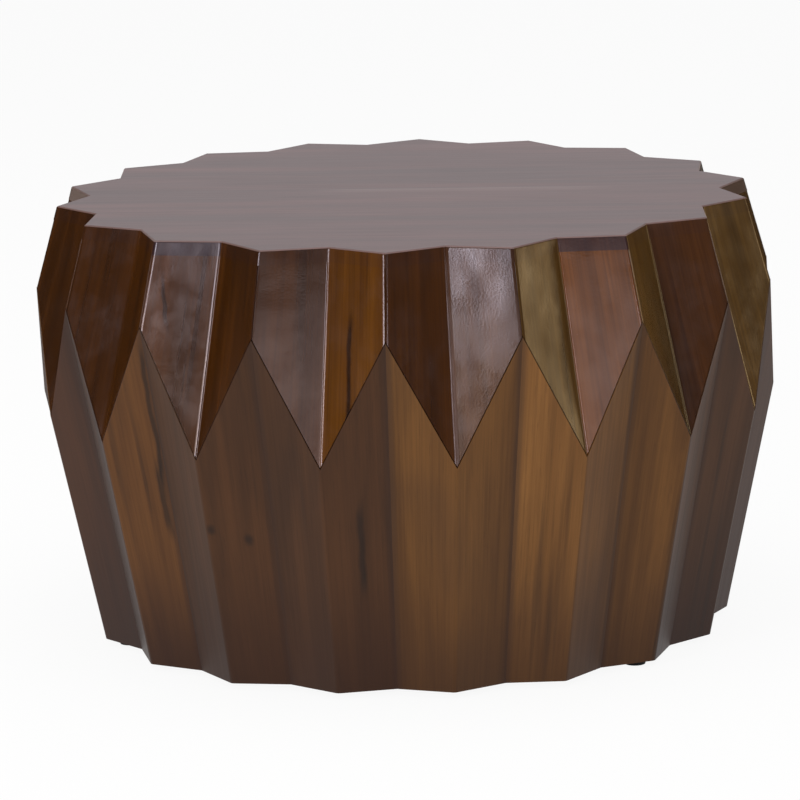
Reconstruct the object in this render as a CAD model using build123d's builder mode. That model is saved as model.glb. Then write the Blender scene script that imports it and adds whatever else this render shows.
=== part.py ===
from build123d import *

import os
from math import cos, hypot, radians, sin, sqrt, tan

os.makedirs("parts", exist_ok=True)

# A pleated drum table. Millimetres, +Z up. The origin is on the floor under the drum's centre and the
# front is -Y. Angles are measured round the drum from the front towards +X. On an "edge" spoke, at every
# whole pitch, two columns of the wall meet; on a "middle" spoke, half a pitch further, a column has its
# middle. At the top the edge spokes are ridges and the middle spokes are valleys, and at the base they
# have changed places.

# ---- Driving dimensions ------------------------------------------------------------------------------

pleat_count = 18
table_height = 451
belly_radius = 380  # at the points of the teeth
tooth_point_height = 243
peak_height = 367.5  # where the horns of the staves end
top_ridge_inset = 23  # from the belly in to the ridges at the top
top_pleat_depth = 31.5
base_ridge_inset = 49  # from the belly in to the ridges at the base

wall_thickness = 28  # at the valleys, where the wall is thinnest
belly_wall_thickness = 50
tooth_groove_rounding = 2.5
stave_ridge_rounding = 6
tooth_chamfer = 1  # where a tooth meets its neighbours; the staves keep their sharp edges

top_thickness = 14
rim_chamfer = 1
plank_count = 6
plank_offset = 22  # from the drum's middle back to the middle of the row of planks

batten_width = 50
batten_thickness = 22
batten_spacing = 280
batten_end_gap = 5

screw_radius = 2
screw_length = 30  # under its head
screw_head_radius = 4
screw_head_height = 2.5
screw_clearance = 0.2

block_leg = 35
block_length = 60
block_count = 6

hoop_end_width = 20
hoop_thickness = 22
hoop_lift = 12  # above the drum's underside
hoop_segment_count = 6

foot_height = 7
foot_radius = 12.5
foot_taper = 2
foot_inset = 26  # from the edge of the drum's underside to the middle of a foot
foot_ridge = 2  # the first foot stands under this ridge, counted from the front
foot_count = 3

# ---- Layout worked out from them ---------------------------------------------------------------------

pitch = 360 / pleat_count
half_pitch = pitch / 2
top_underside = table_height - top_thickness
top_ridge_radius = belly_radius - top_ridge_inset
top_valley_radius = top_ridge_radius - top_pleat_depth
base_ridge_radius = belly_radius - base_ridge_inset

# The row of equal planks starts at the front ridge and is sawn off at the back, where it runs past it.
plank_width = 2 * (top_ridge_radius + plank_offset) / plank_count


def spoke(radius, angle, height):
    """The point at this radius and height on the spoke at this angle."""
    return Vector(radius * sin(radians(angle)), -radius * cos(radians(angle)), height)


def outward_plane(first, second, third):
    """The plane through three points, facing away from the drum's axis."""
    normal = (second - first).cross(third - first)
    if normal.dot(Vector(first.X, first.Y, 0)) < 0:
        normal = -normal
    return Plane(origin=first, z_dir=normal)


def plane_radius(plane, angle, height):
    """Where the spoke at this angle and height passes through a plane."""
    point = plane.intersect(Axis(Vector(0, 0, height), spoke(1, angle, 0)))
    return hypot(point.X, point.Y)


# Half a column is enough to set out the wall. Its middle spoke is at 0 degrees and its edge spoke at half
# a pitch. The two flat facets meet in the seam, which falls from the peak to the point of the tooth.
tooth_point = spoke(belly_radius, 0, tooth_point_height)
upper_facet = outward_plane(
    tooth_point,
    spoke(top_valley_radius, 0, table_height),
    spoke(top_ridge_radius, half_pitch, table_height),
)
peak = spoke(plane_radius(upper_facet, half_pitch, peak_height), half_pitch, peak_height)
lower_facet = outward_plane(tooth_point, peak, spoke(base_ridge_radius, 0, foot_height))

# The seam is sawn level towards the axis, so that a tooth drops into its stave from above.
seam_normal = (peak - tooth_point).cross(spoke(-1, half_pitch / 2, 0))
seam = Plane(origin=tooth_point, z_dir=seam_normal if seam_normal.Z > 0 else -seam_normal)

# Inside, each column is flat from side to side, in two slopes that meet behind the seam.
inside_base_radius = plane_radius(lower_facet, half_pitch, foot_height) - wall_thickness
inside_belly_radius = belly_radius - belly_wall_thickness
inside_belly_height = (peak_height + tooth_point_height) / 2
inside_top_radius = plane_radius(upper_facet, 0, top_underside) - wall_thickness

inside_base_edge = spoke(inside_base_radius, half_pitch, foot_height)
inside_belly = spoke(inside_belly_radius, 0, inside_belly_height)
inside_top = spoke(inside_top_radius, 0, top_underside)
sideways = Vector(1, 0, 0)
lower_inside = outward_plane(inside_belly, inside_base_edge, inside_belly + sideways)
upper_inside = outward_plane(inside_belly, inside_top, inside_belly + sideways)


def half_column(bottom, top, *saw_cuts):
    """The drum between the front spoke and the next edge spoke, without what lies past each cut."""
    reach = 2 * belly_radius
    with BuildPart() as half:
        with BuildSketch(Plane.XY.offset(bottom)):
            with BuildLine():
                Polyline((0, 0), (0, -reach), (reach * tan(radians(half_pitch)), -reach), close=True)
            make_face()
        extrude(amount=top - bottom)
        for saw_cut in saw_cuts:
            split(bisect_by=saw_cut, keep=Keep.BOTTOM)
    return half.part


def full_drum(half):
    """A half column mirrored and repeated all the way round."""
    with BuildPart() as column:
        add(half)
        mirror(about=Plane.YZ)
    with BuildPart() as drum:
        with PolarLocations(0, pleat_count, start_angle=half_pitch):
            add(column.part)
    return drum.part


def export(part, name):
    """Label a finished piece and write it as a STEP file of the same name."""
    part.label = name
    export_step(part, f"parts/{name}.step")
    print(f"{name}: {part.volume / 1000:.1f} cm3")


# ---- Wall: 18 columns, each of a tooth let into a stave ----------------------------------------------

hollow = half_column(foot_height, top_underside, lower_inside, upper_inside)


def wall_piece(facet, seam_cut, middle_rounding, edge_chamfer=0):
    """One tooth or stave on the front spoke, sawn to shape, with its outer edges eased."""
    with BuildPart() as piece:
        add(half_column(foot_height, top_underside, facet))
        mirror(about=Plane.YZ)
        middle_edge = piece.edges().filter_by(Plane.YZ).sort_by(Axis.Y)[0]
        fillet(middle_edge, middle_rounding)
        # The seam is cut and chamfered on one half, and the other half is its mirror image.
        split(bisect_by=Plane.YZ, keep=Keep.TOP)
        split(bisect_by=seam_cut, keep=Keep.BOTTOM)
        add(hollow, mode=Mode.SUBTRACT)
        if edge_chamfer:
            edges_at_the_peak = piece.faces().filter_by(facet).edges().sort_by_distance(peak)[:2]
            chamfer(edges_at_the_peak, edge_chamfer)
        mirror(about=Plane.YZ)
    return piece.part


def export_round_the_wall(blank, name):
    """Write a copy of a wall piece for every column."""
    for number in range(pleat_count):
        with BuildPart() as piece:
            with Locations(Rotation(0, 0, half_pitch + number * pitch)):
                add(blank)
        export(piece.part, f"{name}_{number + 1:02d}")


tooth = wall_piece(upper_facet, -seam, tooth_groove_rounding, tooth_chamfer)
stave = wall_piece(lower_facet, seam, stave_ridge_rounding)
export_round_the_wall(tooth, "tooth")
export_round_the_wall(stave, "stave")

# ---- Battens across the planks, and the screws that hold them ----------------------------------------

batten_underside = top_underside - batten_thickness
batten_reach = batten_spacing / 2 + batten_width / 2
batten_half_length = sqrt(inside_top_radius**2 - batten_reach**2) - batten_end_gap
screw_row_count = plank_count - 2  # the first and last planks are too short to reach the battens
screw_hole_radius = screw_radius + screw_clearance

with BuildPart() as batten:
    with BuildSketch(Plane.XY.offset(batten_underside)):
        Rectangle(batten_width, 2 * batten_half_length)
    extrude(amount=batten_thickness)
    with Locations(Plane(origin=(0, plank_offset, batten_underside), z_dir=(0, 0, -1))):
        with GridLocations(batten_spacing, plank_width, 1, screw_row_count):
            Hole(screw_hole_radius)

for side, side_name in ((-1, "left"), (1, "right")):
    with BuildPart() as placed_batten:
        with Locations((side * batten_spacing / 2, 0, 0)):
            add(batten.part)
    export(placed_batten.part, f"top_batten_{side_name}")

with BuildPart() as screw:
    Cylinder(screw_head_radius, screw_head_height, align=(Align.CENTER, Align.CENTER, Align.MAX))
    Cylinder(screw_radius, screw_length, align=(Align.CENTER, Align.CENTER, Align.MIN))

with BuildPart() as batten_screws:
    with Locations((0, plank_offset, batten_underside)):
        with GridLocations(batten_spacing, plank_width, 2, screw_row_count):
            add(screw.part)
export(batten_screws.part, "batten_screws")

# ---- Top: planks glued edge to edge, sawn to the star outline and drilled from below -----------------

with BuildPart() as half_top:
    add(half_column(top_underside, table_height, upper_facet))
    rim_edge = half_top.faces().filter_by(upper_facet).edges().sort_by(Axis.Z)[-1]
    chamfer(rim_edge, rim_chamfer)

with BuildPart() as tabletop:
    add(full_drum(half_top.part))
    with Locations(Plane(origin=(0, plank_offset, top_underside), z_dir=(0, 0, -1))):
        with GridLocations(batten_spacing, plank_width, 2, screw_row_count):
            Hole(screw_hole_radius, screw_length - batten_thickness + screw_clearance)

# The first and the last plank run out to the outline, which is widest at the top's underside.
plank_joints = [number * plank_width - top_ridge_radius for number in range(1, plank_count)]
plank_sides = [-belly_radius, *plank_joints, belly_radius]

for number in range(plank_count):
    width = plank_sides[number + 1] - plank_sides[number]
    with BuildPart() as plank:
        add(tabletop.part)
        with Locations((0, plank_sides[number], table_height)):
            Box(
                2 * belly_radius,
                width,
                2 * top_thickness,
                align=(Align.CENTER, Align.MIN, Align.CENTER),
                mode=Mode.INTERSECT,
            )
    export(plank.part, f"top_plank_{number + 1}")

# ---- Glue blocks in the corner between the teeth and the top -----------------------------------------

block_bottom = top_underside - block_leg

with BuildPart() as glue_block:
    with BuildSketch(Plane.YZ):
        with BuildLine():
            Polyline(
                (-inside_top_radius, top_underside),
                (-plane_radius(upper_inside, 0, block_bottom), block_bottom),
                (block_leg - inside_top_radius, top_underside),
                close=True,
            )
        make_face()
    extrude(amount=block_length / 2, both=True)

with BuildPart() as glue_blocks:
    with PolarLocations(0, block_count, start_angle=half_pitch):
        add(glue_block.part)
export(glue_blocks.part, "glue_blocks")

# ---- Hoop inside the foot of the wall ----------------------------------------------------------------

# Each segment follows the staves on its outer side and is sawn straight on its inner side. Its ends lie
# in the middle of a stave, so that it bridges the joints between staves.

hoop_bottom = foot_height + hoop_lift
segment_angle = 360 / hoop_segment_count
segment_corner_radius = plane_radius(lower_inside, 0, hoop_bottom) - hoop_end_width

with BuildPart() as hoop_segment:
    with BuildSketch(Plane.XY.offset(hoop_bottom)):
        with BuildLine():
            Polyline(
                spoke(segment_corner_radius, 0, 0),
                spoke(2 * belly_radius, 0, 0),
                spoke(2 * belly_radius, segment_angle, 0),
                spoke(segment_corner_radius, segment_angle, 0),
                close=True,
            )
        make_face()
    extrude(amount=hoop_thickness)
    inside_of_the_wall = half_column(hoop_bottom, hoop_bottom + hoop_thickness, lower_inside)
    add(full_drum(inside_of_the_wall), rotation=(0, 0, -half_pitch), mode=Mode.INTERSECT)

for number in range(hoop_segment_count):
    with BuildPart() as segment:
        with Locations(Rotation(0, 0, half_pitch + number * segment_angle)):
            add(hoop_segment.part)
    export(segment.part, f"hoop_segment_{number + 1}")

# ---- Feet --------------------------------------------------------------------------------------------

for number in range(foot_count):
    foot_angle = half_pitch + foot_ridge * pitch + number * 360 / foot_count
    angle_from_ridge = abs(foot_angle % pitch - half_pitch)
    underside_radius = plane_radius(lower_facet, angle_from_ridge, foot_height)
    with BuildPart() as foot:
        with Locations(spoke(underside_radius - foot_inset, foot_angle, 0)):
            Cone(
                foot_radius - foot_taper,
                foot_radius,
                foot_height,
                align=(Align.CENTER, Align.CENTER, Align.MIN),
            )
    export(foot.part, f"foot_{number + 1}")
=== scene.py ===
# %% [markdown]
# # A pleated drum table in Blender
#
# The table is a squat drum whose wall is folded into eighteen pleats. A dark lacquered tooth hangs in the
# upper half of every pleat, and a lighter satin stave stands below it, notched to take the tooth's point.
# The shapes are already right in the CAD model, so this lesson is about light and about finishes: a studio
# that shows off lacquer, and woods whose grain, tone and gloss change from piece to piece.

# %% Load the frame
from math import cos, pi, radians, sin, tan

import bpy
from mathutils import Matrix, Vector


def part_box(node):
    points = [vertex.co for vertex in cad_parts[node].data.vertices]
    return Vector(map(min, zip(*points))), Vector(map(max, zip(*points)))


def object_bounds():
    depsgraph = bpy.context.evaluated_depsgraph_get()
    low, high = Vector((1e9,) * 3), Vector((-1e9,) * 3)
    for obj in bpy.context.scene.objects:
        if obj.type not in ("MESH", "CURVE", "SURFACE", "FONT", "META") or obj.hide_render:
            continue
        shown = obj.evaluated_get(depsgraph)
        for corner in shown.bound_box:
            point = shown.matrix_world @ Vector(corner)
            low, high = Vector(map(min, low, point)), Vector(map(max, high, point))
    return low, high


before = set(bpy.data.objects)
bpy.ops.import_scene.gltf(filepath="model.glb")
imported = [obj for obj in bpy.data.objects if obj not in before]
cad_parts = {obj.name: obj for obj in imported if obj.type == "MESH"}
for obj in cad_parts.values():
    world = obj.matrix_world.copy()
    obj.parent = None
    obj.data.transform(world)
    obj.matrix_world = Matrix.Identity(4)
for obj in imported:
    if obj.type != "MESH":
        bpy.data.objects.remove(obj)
cad_low, cad_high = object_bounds()
bpy.ops.object.select_all(action="DESELECT")
print(len(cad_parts), "pieces, from", list(cad_low), "to", list(cad_high))

# %% [markdown]
# ## The camera
#
# The table is looked down on slightly, from a good way off and a few degrees to the right of its front
# ridge. A long lens does that without making the near pleats look swollen. A constraint could aim the
# camera at the table, but a camera on a tripod is seldom quite level. So this one is turned by given
# angles: first about the vertical, then down, and last by a degree of roll.

# %% Camera
CAMERA_SIDE_ANGLE = 0.053
CAMERA_DISTANCE = 4.514
CAMERA_HEIGHT = 1.1958
CAMERA_TURN = 0.0548
CAMERA_DOWN = 0.2105
CAMERA_ROLL = -0.0218
LENS_LENGTH = 199.365
FILM_WIDTH = 36


def around(angle, radius, height):
    """The point at this angle from the front, towards +X, and at this radius and height."""
    return Vector((radius * sin(angle), -radius * cos(angle), height))


bpy.ops.object.camera_add()
camera = bpy.context.object
camera.name = "studio_camera"
camera.data.lens = LENS_LENGTH
camera.data.sensor_width = FILM_WIDTH
camera.matrix_world = (
    Matrix.Translation(around(CAMERA_SIDE_ANGLE, CAMERA_DISTANCE, CAMERA_HEIGHT))
    @ Matrix.Rotation(CAMERA_TURN, 4, "Z")
    @ Matrix.Rotation(pi / 2 - CAMERA_DOWN, 4, "X")
    @ Matrix.Rotation(CAMERA_ROLL, 4, "Z")
)
bpy.context.scene.camera = camera
print("camera at", list(camera.location))

# %% [markdown]
# ## Shader maths as Python
#
# A procedural finish is a sum of many small decisions, and wiring each of them by hand hides the idea.
# Here a thin class stands for one output of a node. Adding, multiplying or comparing such outputs adds the
# Math nodes, so a finish can be read as a formula.


# %% One output of a node
class Socket:
    """One output of a shader node. Arithmetic on it adds Math nodes."""

    def __init__(self, nodes, output):
        self.nodes = nodes
        self.output = output

    def __add__(self, other):
        return self.nodes.math("ADD", self, other)

    def __sub__(self, other):
        return self.nodes.math("SUBTRACT", self, other)

    def __rsub__(self, other):
        return self.nodes.math("SUBTRACT", other, self)

    def __mul__(self, other):
        return self.nodes.math("MULTIPLY", self, other)

    def __truediv__(self, other):
        return self.nodes.math("DIVIDE", self, other)

    def __lt__(self, other):
        return self.nodes.math("LESS_THAN", self, other)

    __radd__ = __add__
    __rmul__ = __mul__

    def power(self, exponent):
        return self.nodes.math("POWER", self, exponent)

    def whole(self):
        return self.nodes.math("FLOOR", self)

    def size(self):
        return self.nodes.math("ABSOLUTE", self)

    def at_most(self, limit):
        return self.nodes.math("MINIMUM", self, limit)

    def at_least(self, limit):
        return self.nodes.math("MAXIMUM", self, limit)

    def fade(self, start, end):
        """0 below start and 1 above end, or the other way round where start is the larger."""
        inputs = {
            "Value": self,
            "From Min": min(start, end),
            "From Max": max(start, end),
            "To Min": 0 if start < end else 1,
            "To Max": 1 if start < end else 0,
        }
        return self.nodes.node("ShaderNodeMapRange", {"interpolation_type": "SMOOTHSTEP"}, inputs)


print(Socket.__doc__)

# %% [markdown]
# ## One method for every node
#
# A node needs its settings before its inputs, because some settings change which inputs it has. One
# method does both in that order, for a material and for the world alike, so that no finish has to think
# of it. An input takes a number, a colour or the output of another node.


# %% Nodes of a material or of the world
class Nodes:
    """A node tree that is being filled."""

    def __init__(self, tree):
        self.tree = tree

    def node(self, kind, settings, inputs, output=0):
        """A node: its settings first, then the values or links of its inputs."""
        made = self.tree.nodes.new(kind)
        for name, value in settings.items():
            setattr(made, name, value)
        for name, value in inputs.items():
            self.feed(made.inputs[name], value)
        return Socket(self, made.outputs[output])

    def feed(self, place, value):
        """Put a number, a colour or another node's output into an input."""
        if isinstance(value, Socket):
            self.tree.links.new(value.output, place)
        else:
            place.default_value = value

    def math(self, operation, *values):
        return self.node("ShaderNodeMath", {"operation": operation}, dict(enumerate(values)))


print(Nodes.__doc__)

# %% [markdown]
# ## A finish
#
# A finish starts as Blender's Principled shader, whose numbers can make it wood, lacquer, rubber or steel.
# Its patterns could be painted pictures. Here they are noise in the piece's own coordinates, which needs
# no unwrapping, never repeats and stays sharp from close by. Wood grain is noise that is finer across the
# fibres than along them.


# %% Finish
class Finish(Nodes):
    """A material that is being put together."""

    def __init__(self, name):
        self.material = bpy.data.materials.new(name)
        self.material.use_nodes = True
        super().__init__(self.material.node_tree)
        self.shader = self.tree.nodes["Principled BSDF"]

    def position(self):
        return self.node("ShaderNodeTexCoord", {}, {}, "Object")

    def parts(self, vector):
        """The x, y and z of a vector."""
        first = self.node("ShaderNodeSeparateXYZ", {}, {0: vector})
        return [Socket(self, output) for output in first.output.node.outputs]

    def moved(self, vector, by):
        return self.node("ShaderNodeVectorMath", {"operation": "ADD"}, {0: vector, 1: by})

    def noise(self, vector, scale=1, detail=2, roughness=0.5, distortion=0):
        inputs = {
            "Vector": vector,
            "Scale": scale,
            "Detail": detail,
            "Roughness": roughness,
            "Distortion": distortion,
        }
        return self.node("ShaderNodeTexNoise", {}, inputs)

    def grain(self, wood, fineness, **look):
        """Noise with a fineness of its own along x, y and z."""
        fine = self.node("ShaderNodeVectorMath", {"operation": "MULTIPLY"}, {0: wood, 1: fineness})
        return self.noise(fine, **look)

    def chance(self, number):
        """A random value and a random vector that stay the same for the same number."""
        value = self.node("ShaderNodeTexWhiteNoise", {"noise_dimensions": "1D"}, {"W": number})
        return value, Socket(self, value.output.node.outputs["Color"])

    def blend(self, share, first, second):
        """A colour between two colours: the first where the share is 0, the second where it is 1."""
        return self.node("ShaderNodeMix", {"data_type": "RGBA"}, {0: share, 6: first, 7: second}, 2)

    def bump(self, height, depth=1.0, strength=1.0):
        """The normal of a surface that is raised by this height times this depth."""
        inputs = {"Height": height, "Distance": depth, "Strength": strength}
        return self.node("ShaderNodeBump", {}, inputs)

    def wear(self, **inputs):
        """Set the shader's own sockets and hand over the material."""
        for name, value in inputs.items():
            self.feed(self.shader.inputs[name.replace("_", " ")], value)
        print(self.material.name, "is made of", len(self.tree.nodes), "nodes")
        return self.material


print(Finish.__doc__)

# %% [markdown]
# ## Colours as a screen shows them
#
# A stain is easiest to choose on a screen, as red, green and blue from 0 to 255. A shader counts light
# instead, and a screen bends light by a curve, so one function takes the curve off again.


# %% Screen colours
def paint(red, green, blue):
    """A colour as it looks on a screen, 0 to 255, as the light values that a shader works in."""
    levels = [value / 255 for value in (red, green, blue)]
    light = [v / 12.92 if v <= 0.04045 else ((v + 0.055) / 1.055) ** 2.4 for v in levels]
    return (*light, 1)


print("a mid grey is", round(paint(128, 128, 128)[0], 3))

# %% [markdown]
# ## Where a point lies in the wall
#
# Every tooth and every stave is a piece of its own, so its grain has to start anew at each joint. The
# number of its pleat is worked out from the angle round the drum, and a random shift for each number
# moves the grain. The grain is laid out along the wall, by angle and height, because grain that is laid
# out in X and Y comes out slanted on a facet that leans. The same place says how far a point is from the
# middle of its pleat, from the upright joint and from the zigzag seam, where edges are eased and stain
# gathers, and where shade is painted in beside the joints. The seam is steep, so a point lies much nearer
# to it than it lies above or below it, and the lean of the seam says by how much.

# %% Sizes of the wall
PLEAT_ANGLE = radians(20)
FACET_ANGLE = PLEAT_ANGLE / 2
TABLE_HEIGHT = cad_high.z
TOOTH_POINT_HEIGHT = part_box("tooth_01")[0].z
PEAK_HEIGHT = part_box("stave_01")[1].z
BELLY_RADIUS = 0.36
PLEAT_WIDTH = PLEAT_ANGLE * BELLY_RADIUS
SEAM_LEAN = 0.45
print("the seam runs from", round(TOOTH_POINT_HEIGHT, 4), "up to", round(PEAK_HEIGHT, 4))


# %% Place in the wall
class WallPlace:
    """The angle round the drum, the height, and the wood that a point of the wall lies in."""

    def __init__(self, finish):
        self.finish = finish
        self.position = finish.position()
        self.x, self.y, self.height = finish.parts(self.position)
        self.angle = finish.math("ARCTAN2", self.x, 0 - self.y)
        self.facet = (self.angle / FACET_ANGLE).whole()
        pleats = self.angle / PLEAT_ANGLE
        pleat = pleats.whole()
        from_middle = (pleats - pleat - 0.5).size()
        self.from_crease = from_middle * PLEAT_WIDTH
        self.from_joint = (0.5 - from_middle) * PLEAT_WIDTH
        seam_rise = from_middle * 2 * (PEAK_HEIGHT - TOOTH_POINT_HEIGHT)
        self.from_seam = (self.height - seam_rise - TOOTH_POINT_HEIGHT).size() * SEAM_LEAN
        _, shift = finish.chance(pleat)
        along_wall = {"X": self.angle * BELLY_RADIUS, "Z": self.height}
        self.wood = finish.moved(finish.node("ShaderNodeCombineXYZ", {}, along_wall), shift)

    def is_in(self, *facets):
        """1 on these facets, which are counted from the front ridge, and 0 on the others."""
        return sum(self.finish.math("COMPARE", self.facet, facet, 0.5) for facet in facets)

    def tones_here(self, plain, others):
        """The darker and the lighter tone of the wood here: the plain pair, or that of its facet."""
        dark, light = plain
        for (other_dark, other_light), facets in others:
            chosen = self.is_in(*facets)
            dark = self.finish.blend(chosen, dark, other_dark)
            light = self.finish.blend(chosen, light, other_light)
        return dark, light


print(WallPlace.__doc__)

# %% [markdown]
# ## Veins and knots
#
# A board with a dark vein or a small knot isn't thrown away but given a place where it looks well. Noise
# alone can't be told where to put such a mark. So each mark is drawn by how far a point is from its
# middle, and noise only frays its rim.

# %% Veins and knots
VEIN_WANDER = 0.008
VEIN_TAPER = 0.03


def vein_at(place, degrees, low, high, width, lean=0):
    """A dark vein between two heights. It leans by so many degrees a metre and wanders a little."""
    wander = place.finish.noise(place.position, scale=26, detail=2) * VEIN_WANDER - VEIN_WANDER / 2
    middle = (place.height - low) * radians(lean) + radians(degrees)
    away = ((place.angle - middle) * BELLY_RADIUS + wander).size()
    taper = place.height.fade(low, low + VEIN_TAPER) * place.height.fade(high, high - VEIN_TAPER)
    return away.fade(width, width * 0.2) * taper


def knot_at(place, degrees, height, radius):
    """A round dark knot with a blurred rim."""
    aside = (place.angle - radians(degrees)) * BELLY_RADIUS
    above = (place.height - height) * 0.8
    ragged = place.finish.noise(place.position, scale=160, detail=2) * radius
    away = (aside * aside + above * above).power(0.5) + ragged * 0.6
    return away.fade(radius * 1.5, radius * 0.5)


print("veins wander by", VEIN_WANDER, "m and taper off over", VEIN_TAPER, "m")

# %% [markdown]
# ## Stain of the teeth
#
# The teeth have a deep amber stain. No two boards take a stain alike, so every facet wears one of five
# tones. A random tone for each facet would be less work, but a maker lays the boards out by eye, so the
# tones are listed one by one: the darker and the lighter shade of a tone, and the facets that have it,
# counted from the front ridge. The lighter olive tone of most facets at the right is partly the wood's own
# and partly painted light from the lamps on that side. Two teeth show a dark vein where the grain has
# opened.

# %% Stain of the teeth
DARK_AMBER = (paint(51, 25, 2), paint(71, 37, 4))
TOOTH_TONES = (
    ((paint(78, 43, 5), paint(103, 61, 12)), (-1, 14, -15)),
    # Lighter olive: partly the wood's own tone, partly painted light from the lamps at the right.
    ((paint(66, 44, 13), paint(88, 61, 22)), (2, 4, 6, 7, 8, 9, 11, 12, -11)),
    ((paint(52, 29, 12), paint(74, 42, 17)), (5, 15, -9)),
    ((paint(82, 44, 10), paint(108, 61, 16)), (3, -17)),
)
WALL_FIBRES = (420, 1, 5)


def tooth_colour(finish, place):
    """Stained wood with upright bands, fibres and a few dark veins. The olive tone of most right-hand
    facets is partly painted light.
    """
    wood = place.wood
    fibre = finish.grain(wood, WALL_FIBRES, detail=3, roughness=0.6)
    band = finish.grain(wood, (45, 1, 3.2), detail=3, roughness=0.55, distortion=0.2)
    vein = finish.grain(wood, (60, 1, 2.2), detail=2).fade(0.62, 0.74)
    front_vein = vein_at(place, -5.6, low=0.27, high=0.40, width=0.0035)
    left_vein = vein_at(place, -36.0, low=0.355, high=0.432, width=0.003, lean=-30)
    at_seam = place.from_seam.fade(0.0016, 0.0004)
    dark, light = place.tones_here(DARK_AMBER, TOOTH_TONES)
    colour = finish.blend(band.fade(0.32, 0.68), dark, light)
    colour = finish.blend(fibre.fade(0.35, 0.7) * 0.3, colour, paint(30, 14, 4))
    darkest = (vein * 0.5 + (front_vein + left_vein) * 0.8 + at_seam * 0.6).at_most(1)
    return finish.blend(darkest, colour, paint(24, 10, 4))


print("the teeth have", len(TOOTH_TONES) + 1, "tones")

# %% [markdown]
# ## Eased edges
#
# The sanded edges of each piece are rounder than a saw leaves them, and catch a thin line of light. A
# Bevel node could round them in the shading, but that line would break wherever two pieces meet. Here the
# height that feeds the Bump node is lowered towards each edge, over a reach of a few millimetres, and the
# line runs on. In the groove of a tooth it rises instead, where a pool of lacquer has set. In the groove
# and at a ridge, the surface tilts by half of what the wall turns there, so the facets meet smoothly.

# %% Eased edges
GROOVE_REACH = 0.0028
GROOVE_SLOPE = tan(radians(22.8))
RIDGE_REACH = 0.003
RIDGE_SLOPE = tan(radians(32.8))
RIM_REACH = 0.002
RIM_SLOPE = 0.6
SEAM_REACH = 0.001
SEAM_SLOPE = 0.5


def rounding(away, reach, slope):
    """The height beside an edge that is eased over this reach and tilts by this slope at the edge."""
    inside = (reach - away).at_least(0)
    return inside * inside * (slope / reach / 2)


def ease_edges(place, height):
    """This height with a pool in the groove, and lowered towards the ridge, the rim and the seam."""
    pooled = height + rounding(place.from_crease, GROOVE_REACH, GROOVE_SLOPE)
    ridged = pooled - rounding(place.from_joint, RIDGE_REACH, RIDGE_SLOPE)
    rimmed = ridged - rounding(TABLE_HEIGHT - place.height, RIM_REACH, RIM_SLOPE)
    return rimmed - rounding(place.from_seam, SEAM_REACH, SEAM_SLOPE)


print("a ridge is eased over", RIDGE_REACH, "m and tilts by", round(RIDGE_SLOPE, 3))

# %% [markdown]
# ## Lacquer
#
# The teeth are polished, and up close such a finish is never flat: the wood's pores leave a fine skin, and
# the whole facet is crowned and a little wavy, which breaks up the reflection of a window. A flat mirror
# would be simpler, but it shows a window with a ruled outline, as no brushed lacquer does. The gloss
# varies too, in soft clouds, where a cloth has rubbed more or less.

# %% Lacquer
WAVE_HEIGHT = 0.0012
SKIN_HEIGHT = 0.000045
TOOTH_MIDDLE = 0.36
CROWN = 0.2
MAUVE_SHEEN = (1.0, 0.86, 0.95, 1)


def lacquer(finish, place):
    """The roughness and the normal of hand-brushed lacquer, on planed facets that are a little crowned."""
    wave = finish.grain(place.wood, (16, 1, 12), detail=2)
    skin = finish.noise(place.position, scale=520, detail=1)
    cloud = finish.grain(place.wood, (34, 1, 26), detail=4, roughness=0.65)
    above_middle = place.height - TOOTH_MIDDLE
    crowned = wave * WAVE_HEIGHT + skin * SKIN_HEIGHT - above_middle * above_middle * CROWN
    roughness = cloud.fade(0.35, 0.7) * 0.11 + skin * 0.06 + 0.12
    return roughness, finish.bump(ease_edges(place, crowned))


def lacquered_tooth_wood():
    finish = Finish("lacquered_tooth_wood")
    place = WallPlace(finish)
    roughness, normal = lacquer(finish, place)
    return finish.wear(
        Base_Color=tooth_colour(finish, place),
        Roughness=roughness,
        Normal=normal,
        Specular_Tint=MAUVE_SHEEN,
    )


tooth_finish = lacquered_tooth_wood()

# %% [markdown]
# ## Stain of the staves
#
# The staves wear a brown stain under a flat varnish, so the wood itself shows: fine upright fibres and
# pores, broader bands where the log's rings were cut, a dark vein here and there and two small knots.
# Their tones are listed one by one too, five in all. Painted shade darkens the stain beside the joints
# between the staves, which lie at the bottom of a valley, and near the floor. On three facets the painted
# shade near the floor is darkest.

# %% Stain of the staves
DARK_BROWN = (paint(57, 33, 15), paint(78, 47, 23))
STAVE_STAINS = (
    ((paint(52, 24, 6), paint(70, 36, 10)), (-6, -7, -9, 8, 14)),
    ((paint(81, 48, 19), paint(108, 68, 30)), (-5, -12, 11, 16)),
    ((paint(84, 52, 20), paint(113, 74, 32)), (0, 1, 3, 4, -8, 9)),
    ((paint(106, 69, 31), paint(136, 92, 46)), (2, 13, -14)),
)
# A smoky tone of the stain for its clouds, and also the colour of the painted shade in the valleys.
SMOKE_AND_SHADE = paint(50, 32, 24)


def stave_marks(place):
    """Three dark veins and two small knots."""
    return (
        vein_at(place, -4.7, low=0.10, high=0.215, width=0.005)
        + vein_at(place, -41.2, low=0.14, high=0.24, width=0.006)
        + vein_at(place, -40.6, low=0.20, high=0.36, width=0.004)
        + knot_at(place, -29.4, height=0.171, radius=0.005)
        + knot_at(place, -24.0, height=0.161, radius=0.006)
    )


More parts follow.
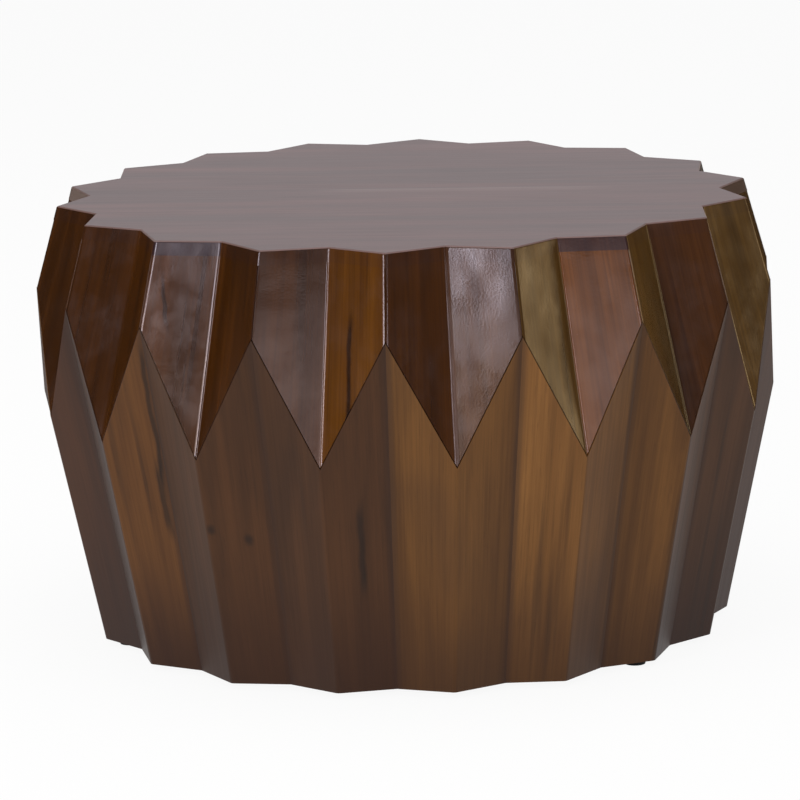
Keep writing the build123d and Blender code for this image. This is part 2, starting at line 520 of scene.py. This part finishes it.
def stave_colour(finish, place, fibre, pores):
    """Stained wood with bands, clouds of smoke, fibres and dark marks, and painted shade in the valleys
    and near the floor.
    """
    band = finish.grain(place.wood, (30, 1, 3), detail=4, roughness=0.55, distortion=0.7)
    cloud = finish.grain(place.wood, (9, 1, 5), detail=2)
    vein = finish.grain(place.wood, (60, 1, 2.6), detail=2).fade(0.64, 0.76)
    # Painted shade beside the joints at the bottom of each valley.
    valley_shade = place.from_joint.fade(0.008, 0.001)
    # Painted shade near the floor, darkest on three facets.
    floor_shade = place.height.fade(0.17, 0.0) * (place.is_in(-5, 5, 6) * 0.25 + 0.62)
    dark, light = place.tones_here(DARK_BROWN, STAVE_STAINS)
    colour = finish.blend(band.fade(0.22, 0.78), dark, light)
    colour = finish.blend(cloud.fade(0.45, 0.8) * 0.35, colour, SMOKE_AND_SHADE)
    colour = finish.blend(fibre.fade(0.35, 0.7) * 0.22, colour, paint(44, 24, 10))
    # The painted shade goes in here: first in the valleys, then near the floor.
    colour = finish.blend(valley_shade * 0.5, colour, SMOKE_AND_SHADE)
    colour = finish.blend(floor_shade, colour, paint(46, 22, 12))
    darkest = (vein * 0.4 + pores * 0.15 + stave_marks(place) * 0.7).at_most(1)
    return finish.blend(darkest, colour, paint(30, 18, 12))


print("the staves have", len(STAVE_STAINS) + 1, "tones")

# %% [markdown]
# ## Satin varnish of the staves
#
# A flat varnish mirrors less than lacquer does. A rougher surface alone would spread the same amount of
# light more widely, so the IOR is lowered as well. The fibres still stand out a little through the thin
# coat, so one pattern makes them darker, duller and raised at once.


# %% Satin varnish of the staves
def satin_stave_wood():
    finish = Finish("satin_stave_wood")
    place = WallPlace(finish)
    fibre = finish.grain(place.wood, WALL_FIBRES, detail=3, roughness=0.6)
    pores = finish.grain(place.wood, (900, 1, 40), detail=1).fade(0.62, 0.72)
    return finish.wear(
        Base_Color=stave_colour(finish, place, fibre, pores),
        Roughness=fibre * 0.14 + 0.42,
        Normal=finish.bump(fibre * 0.7 + pores * 0.3, 0.0001, 0.5),
        IOR=1.3,
    )


stave_finish = satin_stave_wood()

# %% [markdown]
# ## Face of the tabletop
#
# Six planks are glued side by side, with their grain from left to right. They take the same stain as the
# wall but are rubbed to a soft sheen. The number of a plank is worked out from the widths of the planks,
# and it shifts the grain and the tone, as in the wall. One of the glue joints has opened by a hair and
# shows as a dark line, with paler wood in front of it. The rim of the face is a little paler all round,
# partly worn and partly a painted highlight.

# %% Face of the tabletop
RIM_PALE_DEPTH = 0.0001
plank_front, plank_back = (corner.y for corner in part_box("top_plank_3"))
plank_width = plank_back - plank_front
print("a plank is", round(plank_width, 4), "m wide")


def opened_joint(place):
    """The dark line of the joint behind the third plank, and the paler wood in front of it."""
    from_joint = place.y - plank_back
    open_part = place.x.fade(-0.12, -0.04) * place.x.fade(0.24, 0.16)
    line = from_joint.size().fade(0.0014, 0.0004) * open_part
    paler = from_joint.fade(-0.03, -0.002) * (from_joint < 0) * open_part
    return line, paler


def top_face(finish, place):
    """The colour, the roughness and the normal of the upper face."""
    tone, start = finish.chance(((place.y - plank_front) / plank_width).whole())
    wood = finish.moved(place.position, start)
    fibre = finish.grain(wood, (9, 420, 420), detail=3, roughness=0.65)
    band = finish.grain(wood, (2, 26, 26), detail=4, roughness=0.55, distortion=0.3)
    cloud = finish.grain(wood, (3, 8, 8), detail=2)
    line, paler = opened_joint(place)
    # The paler rim is partly wear and partly a painted highlight along the edge.
    rim_wear_and_highlight = place.height < TABLE_HEIGHT - RIM_PALE_DEPTH
    colour = finish.blend(band.fade(0.3, 0.7), paint(63, 40, 41), paint(84, 52, 51))
    colour = finish.blend(cloud.fade(0.35, 0.7) * 0.3, colour, paint(48, 28, 30))
    colour = finish.blend(fibre.fade(0.4, 0.75) * 0.4, colour, paint(30, 16, 14))
    colour = finish.blend(tone * 0.1, colour, paint(88, 50, 50))
    colour = finish.blend(paler * 0.2, colour, paint(110, 78, 70))
    colour = finish.blend(line * 0.8, colour, paint(18, 10, 8))
    colour = finish.blend(rim_wear_and_highlight * 0.4, colour, paint(120, 92, 78))
    roughness = fibre * 0.1 - paler * 0.04 + 0.39
    return colour, roughness, finish.bump(fibre, 0.00012, 0.5)


# %% [markdown]
# ## Edge of the tabletop
#
# The sawn edge of the top is lacquered together with the teeth below it. It could be a second material on
# the same planks, but their faces would have to be sorted first. One material does both here: whatever
# lies just under the upper face takes the colour and the gloss of the teeth. The edge is darker and bluish
# on two facets in front, and paler on two at the sides.

# %% Edge of the tabletop
EDGE_HEIGHT = 0.0012


def top_edge(finish, place):
    """The colour, the roughness and the normal of the edge."""
    # Darker and bluish on two facets in front, paler on two at the sides.
    darker_bluish = place.is_in(-4, 3) * 0.65 + 0.1
    colour = finish.blend(darker_bluish, tooth_colour(finish, place), paint(34, 26, 36))
    colour = finish.blend(place.is_in(-10), colour, paint(116, 98, 90))
    colour = finish.blend(place.is_in(9), colour, paint(86, 68, 58))
    return colour, *lacquer(finish, place)


def top_wood():
    finish = Finish("top_wood")
    place = WallPlace(finish)
    face_colour, face_roughness, face_normal = top_face(finish, place)
    edge_colour, edge_roughness, edge_normal = top_edge(finish, place)
    on_edge = place.height < TABLE_HEIGHT - EDGE_HEIGHT
    normals = {0: on_edge, 4: face_normal, 5: edge_normal}
    return finish.wear(
        Base_Color=finish.blend(on_edge, face_colour, edge_colour),
        Roughness=face_roughness + on_edge * (edge_roughness - face_roughness),
        Normal=finish.node("ShaderNodeMix", {"data_type": "VECTOR"}, normals, 1),
        Specular_Tint=MAUVE_SHEEN,
        IOR=1.5,
    )


top_finish = top_wood()

# %% [markdown]
# ## Screws
#
# The battens are held by zinc plated screws. Plain steel would be a metal of one roughness. The plating
# bath leaves faint clouds, so one noise varies the colour, the gloss and the bump together.


# %% Screws
def screw_steel():
    finish = Finish("screw_steel")
    cloud = finish.noise(finish.position(), scale=700, detail=3)
    return finish.wear(
        Base_Color=finish.blend(cloud, paint(170, 172, 176), paint(206, 206, 204)),
        Metallic=1.0,
        Roughness=cloud * 0.25 + 0.2,
        Normal=finish.bump(cloud, 0.00005, 0.4),
    )


screw_finish = screw_steel()

# %% [markdown]
# ## Feet
#
# The feet are black moulded rubber. Black alone would look like a hole in the picture, so the rubber gets
# a fine grit that spreads what little light it throws back, and some dust in patches.


# %% Feet
def foot_rubber():
    finish = Finish("foot_rubber")
    position = finish.position()
    grit = finish.noise(position, scale=900, detail=2)
    dust = finish.noise(position, scale=60, detail=3).fade(0.5, 0.8)
    return finish.wear(
        Base_Color=finish.blend(dust * 0.3, paint(9, 8, 8), paint(28, 26, 25)),
        Roughness=grit * 0.2 + 0.55,
        Specular_IOR_Level=0.15,
        Normal=finish.bump(grit, 0.0001, 0.5),
    )


foot_finish = foot_rubber()

# %% [markdown]
# ## Bare wood of the hidden pieces
#
# The battens, the glue blocks and the hoop are never seen once the table stands on the floor. They are
# left as they come from the saw, pale and rough, which is also how glue likes them. A wave pattern gives
# the evenly spaced marks of the saw's teeth, and a little distortion keeps them from looking printed.


# %% Bare wood
def bare_wood():
    finish = Finish("bare_wood")
    position = finish.position()
    fibre = finish.grain(position, (300, 12, 300), detail=3, roughness=0.65)
    band = finish.grain(position, (30, 3, 30), detail=4, distortion=0.5)
    saw_mark = finish.node("ShaderNodeTexWave", {}, {"Vector": position, "Scale": 60, "Distortion": 1.5})
    colour = finish.blend(band.fade(0.3, 0.7), paint(168, 132, 92), paint(198, 164, 122))
    colour = finish.blend(fibre.fade(0.4, 0.75) * 0.5, colour, paint(132, 98, 64))
    return finish.wear(
        Base_Color=colour,
        Roughness=fibre * 0.2 + 0.65,
        Normal=finish.bump(fibre * 0.6 + saw_mark * 0.4, 0.0003, 0.6),
    )


bare_finish = bare_wood()

# %% [markdown]
# ## Every piece gets its finish
#
# The pieces could be listed one by one. Their names already say what they are, so the start of a name
# picks the finish, and a piece with no entry of its own is one of the hidden ones in bare wood.

# %% Give every piece its finish
FINISHES = {
    "tooth_": tooth_finish,
    "stave_": stave_finish,
    "top_plank_": top_finish,
    "batten_screws": screw_finish,
    "foot_": foot_finish,
    "": bare_finish,
}


def finish_of(name):
    """The finish of a piece, by the start of its name."""
    return next(finish for start, finish in FINISHES.items() if name.startswith(start))


for name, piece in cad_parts.items():
    for slot in piece.material_slots:
        slot.material = finish_of(name)
    print(name, "wears", piece.material_slots[0].material.name)

# %% [markdown]
# ## The floor
#
# The table stands on a white studio floor that runs on as far as the camera sees. More light would make a
# floor white, but it would also bleach the wood. So the floor glows a little instead, for the camera and
# in mirrors and glass only, and the light that reaches the wood stays as it is. The rest of the floor is
# matt paint, which keeps the table's shadow.


# %% Floor
def seen_directly(nodes, shown_strength):
    """How much of a glow the camera, mirrors and glass get to see. Nothing else sees any of it."""
    seen = nodes.node("ShaderNodeLightPath", {}, {}, "Is Camera Ray")
    rays = seen.output.node.outputs
    for name in ("Is Glossy Ray", "Is Transmission Ray"):
        seen = seen.at_least(Socket(nodes, rays[name]))
    return seen * shown_strength


FLOOR_SIZE = 60
FLOOR_WHITE_SHARE = 0.92

bpy.ops.mesh.primitive_plane_add(size=FLOOR_SIZE)
floor = bpy.context.object
floor.name = "studio_floor"
floor_paint = Finish("studio_floor_paint")
painted = Socket(floor_paint, floor_paint.shader.outputs[0])
glow = floor_paint.node("ShaderNodeEmission", {}, {})
shown = seen_directly(floor_paint, FLOOR_WHITE_SHARE)
surface = floor_paint.node("ShaderNodeMixShader", {}, {0: shown, 1: painted, 2: glow})
floor_paint.feed(floor_paint.tree.nodes["Material Output"].inputs["Surface"], surface)
floor_paint.wear(Base_Color=(0.95, 0.95, 0.95, 1), Roughness=0.9, Specular_IOR_Level=0.0)
floor.data.materials.append(floor_paint.material)

# %% [markdown]
# ## The world
#
# The world is the room round the studio. It is a dim grey for the wood, so that the shadows between the
# pleats don't fill up, and white for the camera, so that it meets the floor without a horizon. The same
# trick as on the floor keeps the two apart.

# %% World
WORLD_LIGHT = 0.45

world = bpy.data.worlds.new("studio_world")
bpy.context.scene.world = world
world.use_nodes = True
room = Nodes(world.node_tree)
dim_node = room.tree.nodes["Background"]
room.feed(dim_node.inputs["Color"], (WORLD_LIGHT, WORLD_LIGHT, WORLD_LIGHT, 1))
dim = Socket(room, dim_node.outputs[0])
pale = room.node("ShaderNodeBackground", {}, {"Color": (1, 1, 1, 1)})
surroundings = room.node("ShaderNodeMixShader", {}, {0: seen_directly(room, 1.0), 1: dim, 2: pale})
room.feed(room.tree.nodes["World Output"].inputs["Surface"], surroundings)
print("floor of", FLOOR_SIZE, "m, world light", WORLD_LIGHT)

# %% [markdown]
# ## Soft boxes
#
# Polished wood is mostly a picture of what stands around it. A window at the left, cool above and warm
# below, a cream soft box in front, a sunny one low at the right and a broad one overhead are what the
# bright facets show. A weak one behind keeps the far side readable. Two strips that only reflections see
# draw the lines of light along the edges. Sun and spot lamps are points in a mirror, so every lamp here
# is an area lamp, whose size and shape can be seen in the lacquer.

# %% Soft boxes
MIDDLE = Vector((0, 0, TABLE_HEIGHT / 2))
COOL = (0.88, 0.95, 1.0)
WARM = (1.0, 0.84, 0.6)
CREAM = (1.0, 0.96, 0.87)
SUNNY = (1.0, 0.79, 0.4)


def facing(place, target):
    """Turned so that the back of the object, its -Z side, looks from place to target."""
    return (target - place).to_track_quat("-Z", "Y").to_euler()


def soft_box(name, angle, distance, height, width, tall, brightness, colour=(1, 1, 1), lights_wood=True):
    """A rectangular lamp that looks at the table. Brightness 1 looks as bright as white paper."""
    place = around(radians(angle), distance, height)
    bpy.ops.object.light_add(type="AREA", location=place, rotation=facing(place, MIDDLE))
    lamp = bpy.context.object
    lamp.name = name
    lamp.data.shape = "RECTANGLE"
    lamp.data.size = width
    lamp.data.size_y = tall
    lamp.data.energy = brightness * pi * width * tall
    lamp.data.color = colour
    lamp.visible_camera = False
    lamp.visible_diffuse = lights_wood
    print(name, "gives", round(lamp.data.energy, 1), "W")


soft_box("window_above", -33, 5.0, height=2.2, width=1.1, tall=0.9, brightness=16.5, colour=COOL)
soft_box("window_below", -33, 5.0, height=1.2, width=1.2, tall=1.1, brightness=5.6, colour=WARM)
soft_box("edge_strip", -43, 5.0, height=1.25, width=0.8, tall=1.0, brightness=15, lights_wood=False)
soft_box("front_box", 3, 5.4, height=1.5, width=4.05, tall=1.3, brightness=2.1, colour=CREAM)
soft_box("right_box", 104, 4.0, height=0.58, width=0.8, tall=1.05, brightness=4.0, colour=SUNNY)
soft_box("right_strip", 38, 3.0, height=0.9, width=0.4, tall=0.8, brightness=8, lights_wood=False)
soft_box("back_left_box", -136, 4.0, height=0.9, width=1.6, tall=1.8, brightness=0.5)
soft_box("ceiling_box", 0, 0.3, height=3.4, width=3.0, tall=3.0, brightness=2.05)

# %% [markdown]
# ## Black cloths
#
# The dark facets need something dark to show, or they mirror the white room and turn grey. So
# photographers hang black cloth where no light should come from. The cloths here are seen by reflections
# only: they take no light from the table, throw no shadow and stay out of the picture.


# %% Black cloths
def dark_cloth(name, start, end, grey, distance=3.2, tall=2.6):
    """An upright dark cloth between two angles round the table, seen by reflections only."""
    width = 2 * distance * tan(radians(end - start) / 2)
    place = around(radians(start + end) / 2, distance, tall / 2)
    turn = facing(place, Vector((0, 0, tall / 2)))
    bpy.ops.mesh.primitive_plane_add(size=1, location=place, rotation=turn)
    cloth = bpy.context.object
    cloth.name = name
    cloth.scale = (width, tall, 1)
    cloth.data.materials.append(Finish(name).wear(Base_Color=(grey, grey, grey, 1), Roughness=0.9))
    cloth.visible_camera = False
    cloth.visible_diffuse = False
    cloth.visible_shadow = False
    cloth.visible_transmission = False


dark_cloth("cloth_front", -54, 35, grey=0.12, distance=6.2, tall=5.0)
dark_cloth("cloth_back_left", -148, -82, grey=0.03)
dark_cloth("cloth_left", -82, -52, grey=0.08)
dark_cloth("cloth_front_right", 33, 96, grey=0.1)
dark_cloth("cloth_right", 112, 150, grey=0.02)
dark_cloth("cloth_behind_right_box", 94, 114, grey=0.02, distance=4.6, tall=3.6)
dark_cloth("low_cloth_behind", 150, 228, grey=0.08, distance=1.6, tall=0.42)

# %% [markdown]
# ## Finishing
#
# The Standard view shows a colour as it was chosen, where the default one would mute it.

# %% Finish
bpy.context.scene.view_settings.view_transform = "Standard"
